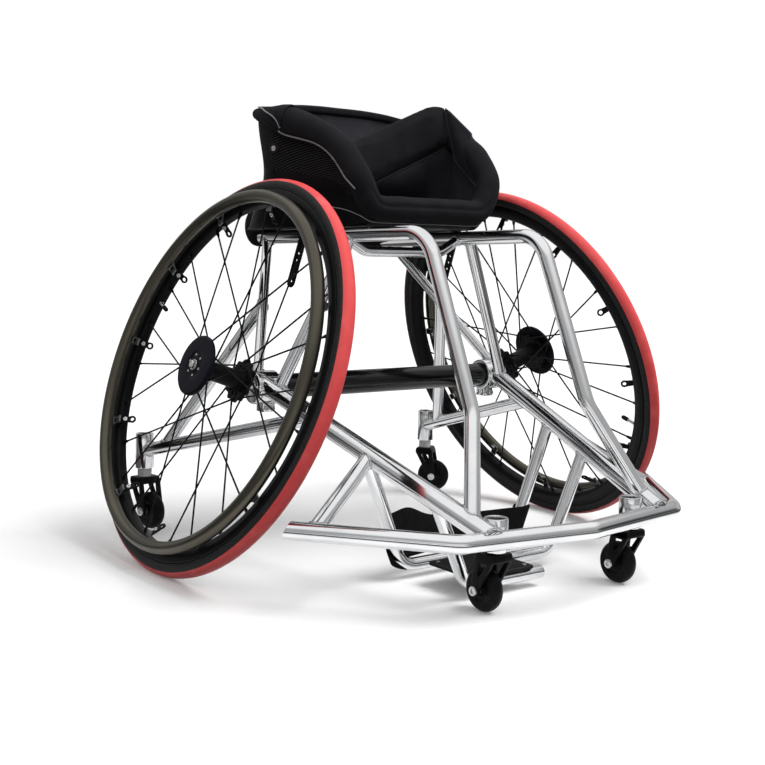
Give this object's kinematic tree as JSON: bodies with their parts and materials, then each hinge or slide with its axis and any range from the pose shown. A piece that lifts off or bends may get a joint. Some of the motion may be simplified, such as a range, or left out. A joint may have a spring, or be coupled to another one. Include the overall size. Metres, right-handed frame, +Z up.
{
  "type": "manual wheelchair",
  "caption": "Sports wheelchair with cambered quick-release wheels, a welded tube frame with a bumper wing, a padded bucket seat, swivel casters and anti-tip rollers.",
  "frame": {"origin": "on the floor under the middle of the chair's box", "axes": "+Z up, -Y is the way the chair rolls forward, +X is the user's left"},
  "size_m": [0.8628, 0.7858, 0.7134],
  "materials": {
    "polished_aluminium": "mirror-polished aluminium tube",
    "gloss_black": "gloss black coat",
    "satin_black": "semi-gloss black anodising",
    "tyre_red": "red tread, black side walls",
    "handrim_bronze": "satin grey-bronze anodising",
    "stainless_steel": "bright turned steel",
    "black_upholstery": "black padded upholstery",
    "seat_shell": "black moulded shell with ribbed cloth",
    "matte_black": "matt black moulding",
    "caster_tread": "black urethane"
  },
  "bodies": {
    "chair": {"bumper_bar": "polished_aluminium", "camber_tube": "gloss_black", "footplate": "matte_black", "heel_strap": "black_upholstery", "left_antitip_arm": "polished_aluminium", "left_antitip_brace": "polished_aluminium", "left_axle": "stainless_steel", "left_axle_clamp": "polished_aluminium", "left_caster_barrel": "polished_aluminium", "left_down_tube": "polished_aluminium", "left_front_foot_tube": "polished_aluminium", "left_mid_strut": "polished_aluminium", "left_rear_foot_tube": "polished_aluminium", "left_rear_strut": "polished_aluminium", "left_side_tube": "polished_aluminium", "left_tension_strap": "black_upholstery", "padded_rim": "black_upholstery", "pelvic_pad": "black_upholstery", "right_antitip_arm": "polished_aluminium", "right_antitip_brace": "polished_aluminium", "right_axle": "stainless_steel", "right_axle_clamp": "polished_aluminium", "right_caster_barrel": "polished_aluminium", "right_down_tube": "polished_aluminium", "right_front_foot_tube": "polished_aluminium", "right_mid_strut": "polished_aluminium", "right_rear_foot_tube": "polished_aluminium", "right_rear_strut": "polished_aluminium", "right_side_tube": "polished_aluminium", "right_tension_strap": "black_upholstery", "seat_crossbar": "polished_aluminium", "seat_cushion": "black_upholstery", "seat_shell": "seat_shell"},
    "right_drive_wheel": {"right_tyre": "tyre_red", "right_rim": "satin_black", "right_hub": "satin_black", "right_hub_bearing": "stainless_steel", "right_hub_cover": "satin_black", "right_handrim": "handrim_bronze"},
    "right_release": {"right_release_button": "stainless_steel"},
    "right_caster_swivel": {"right_caster_fork": "satin_black", "right_caster_axle_bolt": "stainless_steel"},
    "right_caster_roller": {"right_caster_wheel": "caster_tread"},
    "right_antitip_swivel": {"right_antitip_fork": "satin_black", "right_antitip_axle_bolt": "stainless_steel"},
    "right_antitip_roller": {"right_antitip_wheel": "caster_tread"},
    "left_drive_wheel": {"left_tyre": "tyre_red", "left_rim": "satin_black", "left_hub": "satin_black", "left_hub_bearing": "stainless_steel", "left_hub_cover": "satin_black", "left_handrim": "handrim_bronze"},
    "left_release": {"left_release_button": "stainless_steel"},
    "left_caster_swivel": {"left_caster_fork": "satin_black", "left_caster_axle_bolt": "stainless_steel"},
    "left_caster_roller": {"left_caster_wheel": "caster_tread"},
    "left_antitip_swivel": {"left_antitip_fork": "satin_black", "left_antitip_axle_bolt": "stainless_steel"},
    "left_antitip_roller": {"left_antitip_wheel": "caster_tread"}
  },
  "joints": [
    {"name": "right_wheel_spin", "type": "hinge", "parent": "chair", "child": "right_drive_wheel", "pos_m": [-0.30671, 0.0886, 0.28695], "axis": [-0.9423, 0, 0.3346], "continuous": true},
    {"name": "right_release_press", "type": "slide", "parent": "chair", "child": "right_release", "axis": [0.9423, 0, -0.3346], "range_m": [0, 0.004], "stiffness_N_per_m": 400},
    {"name": "right_caster_turn", "type": "hinge", "parent": "chair", "child": "right_caster_swivel", "pos_m": [-0.1301, -0.33099, 0], "axis": [0, 0, 1], "continuous": true},
    {"name": "right_caster_roll", "type": "hinge", "parent": "right_caster_swivel", "child": "right_caster_roller", "pos_m": [-0.1301, -0.31299, 0.0305], "axis": [1, 0, 0], "continuous": true},
    {"name": "right_antitip_turn", "type": "hinge", "parent": "chair", "child": "right_antitip_swivel", "pos_m": [-0.3, 0.3406, 0], "axis": [0, 0, 1], "continuous": true},
    {"name": "right_antitip_roll", "type": "hinge", "parent": "right_antitip_swivel", "child": "right_antitip_roller", "pos_m": [-0.29749, 0.32278, 0.0365], "axis": [0.9903, 0.1392, 0], "continuous": true},
    {"name": "left_wheel_spin", "type": "hinge", "parent": "chair", "child": "left_drive_wheel", "pos_m": [0.30671, 0.0886, 0.28695], "axis": [0.9423, 0, 0.3346], "continuous": true},
    {"name": "left_release_press", "type": "slide", "parent": "chair", "child": "left_release", "axis": [-0.9423, 0, -0.3346], "range_m": [0, 0.004], "stiffness_N_per_m": 400},
    {"name": "left_caster_turn", "type": "hinge", "parent": "chair", "child": "left_caster_swivel", "pos_m": [0.1301, -0.33099, 0], "axis": [0, 0, 1], "continuous": true},
    {"name": "left_caster_roll", "type": "hinge", "parent": "left_caster_swivel", "child": "left_caster_roller", "pos_m": [0.1301, -0.31299, 0.0305], "axis": [1, 0, 0], "continuous": true},
    {"name": "left_antitip_turn", "type": "hinge", "parent": "chair", "child": "left_antitip_swivel", "pos_m": [0.3, 0.3406, 0], "axis": [0, 0, 1], "continuous": true},
    {"name": "left_antitip_roll", "type": "hinge", "parent": "left_antitip_swivel", "child": "left_antitip_roller", "pos_m": [0.31133, 0.32661, 0.0365], "axis": [0.7771, 0.6293, 0], "continuous": true}
  ]
}
